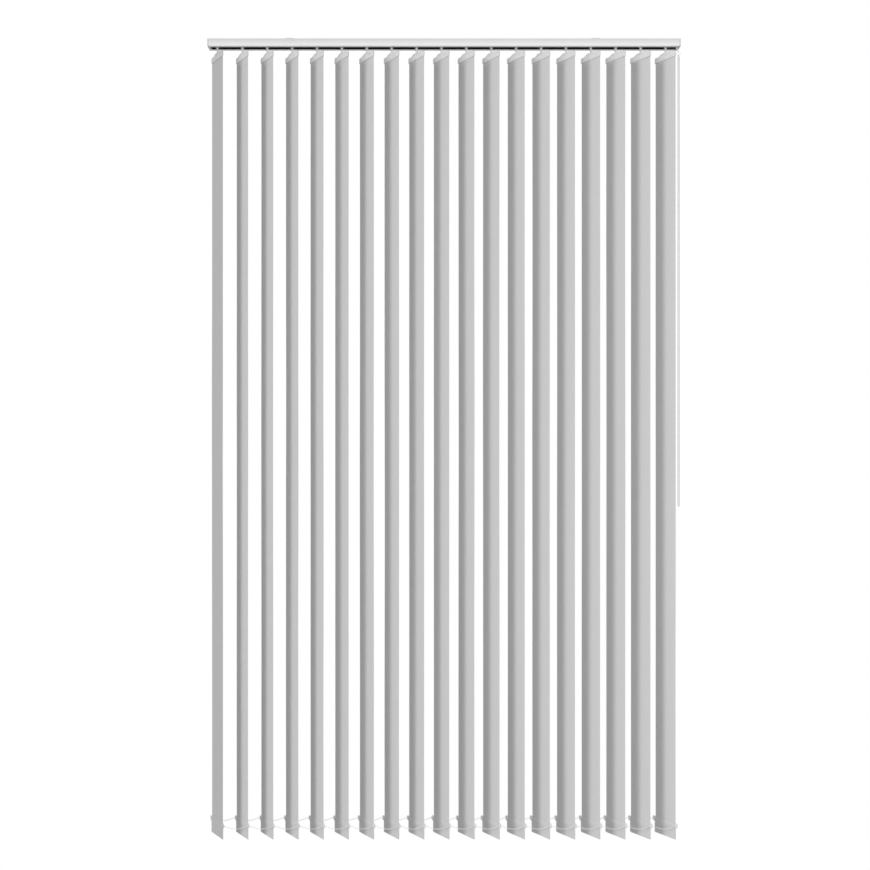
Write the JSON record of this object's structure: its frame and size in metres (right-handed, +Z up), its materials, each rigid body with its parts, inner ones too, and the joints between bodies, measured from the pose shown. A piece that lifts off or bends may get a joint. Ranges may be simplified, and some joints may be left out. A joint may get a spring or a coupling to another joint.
{
  "type": "vertical blind",
  "caption": "Ceiling-fixed vertical blind: fabric louvres on sliding carriers under a slotted rail, turned and drawn with a wand.",
  "frame": {"origin": "ceiling plane, midway between the screw holes of the two ceiling brackets, on the rail's centre line", "axes": "+X along the rail to the right seen from the room, +Y towards the window, +Z up"},
  "size_m": [1.5037, 0.0958, 2.5375],
  "materials": {
    "rail_paint": "white satin powder coat",
    "cap_plastic": "moulded white",
    "bracket_steel": "white coated steel",
    "rod_aluminium": "extruded",
    "carrier_plastic": "moulded, dark",
    "louvre_fabric": "white woven strip with a stiff coating",
    "ring_wire": "white coated wire",
    "wand_plastic": "smooth white",
    "chain_beads": "smooth white beads"
  },
  "bodies": {
    "root": {"headrail": "rail_paint", "end_cap_left": "cap_plastic", "end_cap_right": "cap_plastic", "bracket_left": "bracket_steel", "bracket_right": "bracket_steel", "carrier_01": "carrier_plastic"},
    "rod": {"tilt_rod": "rod_aluminium"},
    "lead_carriage": {"lead_carrier": "carrier_plastic", "lead_cover": "carrier_plastic"},
    "carriage_02": {"carrier_02": "carrier_plastic"},
    "carriage_03": {"carrier_03": "carrier_plastic"},
    "carriage_04": {"carrier_04": "carrier_plastic"},
    "carriage_05": {"carrier_05": "carrier_plastic"},
    "carriage_06": {"carrier_06": "carrier_plastic"},
    "carriage_07": {"carrier_07": "carrier_plastic"},
    "carriage_08": {"carrier_08": "carrier_plastic"},
    "carriage_09": {"carrier_09": "carrier_plastic"},
    "carriage_10": {"carrier_10": "carrier_plastic"},
    "carriage_11": {"carrier_11": "carrier_plastic"},
    "carriage_12": {"carrier_12": "carrier_plastic"},
    "carriage_13": {"carrier_13": "carrier_plastic"},
    "carriage_14": {"carrier_14": "carrier_plastic"},
    "carriage_15": {"carrier_15": "carrier_plastic"},
    "carriage_16": {"carrier_16": "carrier_plastic"},
    "carriage_17": {"carrier_17": "carrier_plastic"},
    "carriage_18": {"carrier_18": "carrier_plastic"},
    "vane_01": {"vane_01": "louvre_fabric"},
    "vane_02": {"vane_02": "louvre_fabric"},
    "vane_03": {"vane_03": "louvre_fabric"},
    "vane_04": {"vane_04": "louvre_fabric"},
    "vane_05": {"vane_05": "louvre_fabric"},
    "vane_06": {"vane_06": "louvre_fabric"},
    "vane_07": {"vane_07": "louvre_fabric"},
    "vane_08": {"vane_08": "louvre_fabric"},
    "vane_09": {"vane_09": "louvre_fabric"},
    "vane_10": {"vane_10": "louvre_fabric"},
    "vane_11": {"vane_11": "louvre_fabric"},
    "vane_12": {"vane_12": "louvre_fabric"},
    "vane_13": {"vane_13": "louvre_fabric"},
    "vane_14": {"vane_14": "louvre_fabric"},
    "vane_15": {"vane_15": "louvre_fabric"},
    "vane_16": {"vane_16": "louvre_fabric"},
    "vane_17": {"vane_17": "louvre_fabric"},
    "vane_18": {"vane_18": "louvre_fabric"},
    "vane_19": {"vane_19": "louvre_fabric"},
    "drive_gear": {"rod_gear": "carrier_plastic"},
    "spindle": {"spindle": "wand_plastic"},
    "wand_link": {"wand_ring": "ring_wire"},
    "wand": {"wand_top": "wand_plastic", "wand_rod": "wand_plastic", "wand_tip": "wand_plastic"},
    "front_chain": {"front_chain": "chain_beads"},
    "rear_chain": {"rear_chain": "chain_beads"}
  },
  "joints": [
    {"name": "rod_spin", "type": "hinge", "parent": "root", "child": "rod", "pos_m": [0, 0.0085, -0.0175], "axis": [1, 0, 0], "range_deg": [-1800, 720]},
    {"name": "traverse", "type": "slide", "parent": "root", "child": "lead_carriage", "axis": [-1, 0, 0], "range_m": [0, 1.1394], "deforming": ["front_chain", "rear_chain"]},
    {"name": "traverse_02", "type": "slide", "parent": "root", "child": "carriage_02", "axis": [-1, 0, 0], "range_m": [0, 0.0633]},
    {"name": "traverse_03", "type": "slide", "parent": "root", "child": "carriage_03", "axis": [-1, 0, 0], "range_m": [0, 0.1266]},
    {"name": "traverse_04", "type": "slide", "parent": "root", "child": "carriage_04", "axis": [-1, 0, 0], "range_m": [0, 0.1899]},
    {"name": "traverse_05", "type": "slide", "parent": "root", "child": "carriage_05", "axis": [-1, 0, 0], "range_m": [0, 0.2532]},
    {"name": "traverse_06", "type": "slide", "parent": "root", "child": "carriage_06", "axis": [-1, 0, 0], "range_m": [0, 0.3165]},
    {"name": "traverse_07", "type": "slide", "parent": "root", "child": "carriage_07", "axis": [-1, 0, 0], "range_m": [0, 0.3798]},
    {"name": "traverse_08", "type": "slide", "parent": "root", "child": "carriage_08", "axis": [-1, 0, 0], "range_m": [0, 0.4431]},
    {"name": "traverse_09", "type": "slide", "parent": "root", "child": "carriage_09", "axis": [-1, 0, 0], "range_m": [0, 0.5064]},
    {"name": "traverse_10", "type": "slide", "parent": "root", "child": "carriage_10", "axis": [-1, 0, 0], "range_m": [0, 0.5697]},
    {"name": "traverse_11", "type": "slide", "parent": "root", "child": "carriage_11", "axis": [-1, 0, 0], "range_m": [0, 0.633]},
    {"name": "traverse_12", "type": "slide", "parent": "root", "child": "carriage_12", "axis": [-1, 0, 0], "range_m": [0, 0.6963]},
    {"name": "traverse_13", "type": "slide", "parent": "root", "child": "carriage_13", "axis": [-1, 0, 0], "range_m": [0, 0.7596]},
    {"name": "traverse_14", "type": "slide", "parent": "root", "child": "carriage_14", "axis": [-1, 0, 0], "range_m": [0, 0.8229]},
    {"name": "traverse_15", "type": "slide", "parent": "root", "child": "carriage_15", "axis": [-1, 0, 0], "range_m": [0, 0.8862]},
    {"name": "traverse_16", "type": "slide", "parent": "root", "child": "carriage_16", "axis": [-1, 0, 0], "range_m": [0, 0.9495]},
    {"name": "traverse_17", "type": "slide", "parent": "root", "child": "carriage_17", "axis": [-1, 0, 0], "range_m": [0, 1.0128]},
    {"name": "traverse_18", "type": "slide", "parent": "root", "child": "carriage_18", "axis": [-1, 0, 0], "range_m": [0, 1.0761]},
    {"name": "tilt_01", "type": "hinge", "parent": "root", "child": "vane_01", "pos_m": [-0.7176, 0, -0.0175], "axis": [0, 0, 1], "range_deg": [-112.5, 45]},
    {"name": "tilt_02", "type": "hinge", "parent": "carriage_02", "child": "vane_02", "pos_m": [-0.6383, 0, -0.0175], "axis": [0, 0, 1], "range_deg": [-112.5, 45]},
    {"name": "tilt_03", "type": "hinge", "parent": "carriage_03", "child": "vane_03", "pos_m": [-0.559, 0, -0.0175], "axis": [0, 0, 1], "range_deg": [-112.5, 45]},
    {"name": "tilt_04", "type": "hinge", "parent": "carriage_04", "child": "vane_04", "pos_m": [-0.4797, 0, -0.0175], "axis": [0, 0, 1], "range_deg": [-112.5, 45]},
    {"name": "tilt_05", "type": "hinge", "parent": "carriage_05", "child": "vane_05", "pos_m": [-0.4004, 0, -0.0175], "axis": [0, 0, 1], "range_deg": [-112.5, 45]},
    {"name": "tilt_06", "type": "hinge", "parent": "carriage_06", "child": "vane_06", "pos_m": [-0.3211, 0, -0.0175], "axis": [0, 0, 1], "range_deg": [-112.5, 45]},
    {"name": "tilt_07", "type": "hinge", "parent": "carriage_07", "child": "vane_07", "pos_m": [-0.2418, 0, -0.0175], "axis": [0, 0, 1], "range_deg": [-112.5, 45]},
    {"name": "tilt_08", "type": "hinge", "parent": "carriage_08", "child": "vane_08", "pos_m": [-0.1625, 0, -0.0175], "axis": [0, 0, 1], "range_deg": [-112.5, 45]},
    {"name": "tilt_09", "type": "hinge", "parent": "carriage_09", "child": "vane_09", "pos_m": [-0.0832, 0, -0.0175], "axis": [0, 0, 1], "range_deg": [-112.5, 45]},
    {"name": "tilt_10", "type": "hinge", "parent": "carriage_10", "child": "vane_10", "pos_m": [-0.0039, 0, -0.0175], "axis": [0, 0, 1], "range_deg": [-112.5, 45]},
    {"name": "tilt_11", "type": "hinge", "parent": "carriage_11", "child": "vane_11", "pos_m": [0.0754, 0, -0.0175], "axis": [0, 0, 1], "range_deg": [-112.5, 45]},
    {"name": "tilt_12", "type": "hinge", "parent": "carriage_12", "child": "vane_12", "pos_m": [0.1547, 0, -0.0175], "axis": [0, 0, 1], "range_deg": [-112.5, 45]},
    {"name": "tilt_13", "type": "hinge", "parent": "carriage_13", "child": "vane_13", "pos_m": [0.234, 0, -0.0175], "axis": [0, 0, 1], "range_deg": [-112.5, 45]},
    {"name": "tilt_14", "type": "hinge", "parent": "carriage_14", "child": "vane_14", "pos_m": [0.3133, 0, -0.0175], "axis": [0, 0, 1], "range_deg": [-112.5, 45]},
    {"name": "tilt_15", "type": "hinge", "parent": "carriage_15", "child": "vane_15", "pos_m": [0.3926, 0, -0.0175], "axis": [0, 0, 1], "range_deg": [-112.5, 45]},
    {"name": "tilt_16", "type": "hinge", "parent": "carriage_16", "child": "vane_16", "pos_m": [0.4719, 0, -0.0175], "axis": [0, 0, 1], "range_deg": [-112.5, 45]},
    {"name": "tilt_17", "type": "hinge", "parent": "carriage_17", "child": "vane_17", "pos_m": [0.5512, 0, -0.0175], "axis": [0, 0, 1], "range_deg": [-112.5, 45]},
    {"name": "tilt_18", "type": "hinge", "parent": "carriage_18", "child": "vane_18", "pos_m": [0.6305, 0, -0.0175], "axis": [0, 0, 1], "range_deg": [-112.5, 45]},
    {"name": "tilt_19", "type": "hinge", "parent": "lead_carriage", "child": "vane_19", "pos_m": [0.7098, 0, -0.0175], "axis": [0, 0, 1], "range_deg": [-112.5, 45]},
    {"name": "gear_spin", "type": "hinge", "parent": "lead_carriage", "child": "drive_gear", "pos_m": [0.743, 0.0085, -0.0175], "axis": [1, 0, 0], "range_deg": [-1800, 720]},
    {"name": "spindle_spin", "type": "hinge", "parent": "lead_carriage", "child": "spindle", "pos_m": [0.743, 0.0085, -0.0175], "axis": [0, -0.7929, -0.6093], "range_deg": [-1800, 720]},
    {"name": "wand_spin", "type": "hinge", "parent": "lead_carriage", "child": "wand_link", "pos_m": [0.743, -0.039, -0.05935], "axis": [0, 0, -1], "range_deg": [-1800, 720]},
    {"name": "wand_swing", "type": "hinge", "parent": "wand_link", "child": "wand", "pos_m": [0.743, -0.039, -0.06485], "axis": [-1, 0, 0], "range_deg": [0, 45]},
    {"name": "front_chain_pivot", "type": "hinge", "parent": "vane_10", "child": "front_chain", "pos_m": [0.02311, -0.04208, -2.4935], "axis": [0, 0, 1], "range_deg": [-45, 112.5]},
    {"name": "rear_chain_pivot", "type": "hinge", "parent": "vane_10", "child": "rear_chain", "pos_m": [-0.03307, 0.04544, -2.4935], "axis": [0, 0, 1], "range_deg": [-45, 112.5]}
  ],
  "couplings": [
    {"joint": "rod_spin", "follows": "tilt_10", "ratio": 16},
    {"joint": "traverse_02", "follows": "traverse", "ratio": 0.055556},
    {"joint": "traverse_03", "follows": "traverse", "ratio": 0.11111},
    {"joint": "traverse_04", "follows": "traverse", "ratio": 0.16667},
    {"joint": "traverse_05", "follows": "traverse", "ratio": 0.22222},
    {"joint": "traverse_06", "follows": "traverse", "ratio": 0.27778},
    {"joint": "traverse_07", "follows": "traverse", "ratio": 0.33333},
    {"joint": "traverse_08", "follows": "traverse", "ratio": 0.38889},
    {"joint": "traverse_09", "follows": "traverse", "ratio": 0.44444},
    {"joint": "traverse_10", "follows": "traverse", "ratio": 0.5},
    {"joint": "traverse_11", "follows": "traverse", "ratio": 0.55556},
    {"joint": "traverse_12", "follows": "traverse", "ratio": 0.61111},
    {"joint": "traverse_13", "follows": "traverse", "ratio": 0.66667},
    {"joint": "traverse_14", "follows": "traverse", "ratio": 0.72222},
    {"joint": "traverse_15", "follows": "traverse", "ratio": 0.77778},
    {"joint": "traverse_16", "follows": "traverse", "ratio": 0.83333},
    {"joint": "traverse_17", "follows": "traverse", "ratio": 0.88889},
    {"joint": "traverse_18", "follows": "traverse", "ratio": 0.94444},
    {"joint": "tilt_01", "follows": "tilt_10", "ratio": 1},
    {"joint": "tilt_02", "follows": "tilt_10", "ratio": 1},
    {"joint": "tilt_03", "follows": "tilt_10", "ratio": 1},
    {"joint": "tilt_04", "follows": "tilt_10", "ratio": 1},
    {"joint": "tilt_05", "follows": "tilt_10", "ratio": 1},
    {"joint": "tilt_06", "follows": "tilt_10", "ratio": 1},
    {"joint": "tilt_07", "follows": "tilt_10", "ratio": 1},
    {"joint": "tilt_08", "follows": "tilt_10", "ratio": 1},
    {"joint": "tilt_09", "follows": "tilt_10", "ratio": 1},
    {"joint": "tilt_11", "follows": "tilt_10", "ratio": 1},
    {"joint": "tilt_12", "follows": "tilt_10", "ratio": 1},
    {"joint": "tilt_13", "follows": "tilt_10", "ratio": 1},
    {"joint": "tilt_14", "follows": "tilt_10", "ratio": 1},
    {"joint": "tilt_15", "follows": "tilt_10", "ratio": 1},
    {"joint": "tilt_16", "follows": "tilt_10", "ratio": 1},
    {"joint": "tilt_17", "follows": "tilt_10", "ratio": 1},
    {"joint": "tilt_18", "follows": "tilt_10", "ratio": 1},
    {"joint": "tilt_19", "follows": "tilt_10", "ratio": 1},
    {"joint": "gear_spin", "follows": "tilt_10", "ratio": 16},
    {"joint": "spindle_spin", "follows": "tilt_10", "ratio": 16},
    {"joint": "wand_spin", "follows": "tilt_10", "ratio": 16},
    {"joint": "front_chain_pivot", "follows": "tilt_10", "ratio": -1},
    {"joint": "rear_chain_pivot", "follows": "tilt_10", "ratio": -1}
  ]
}
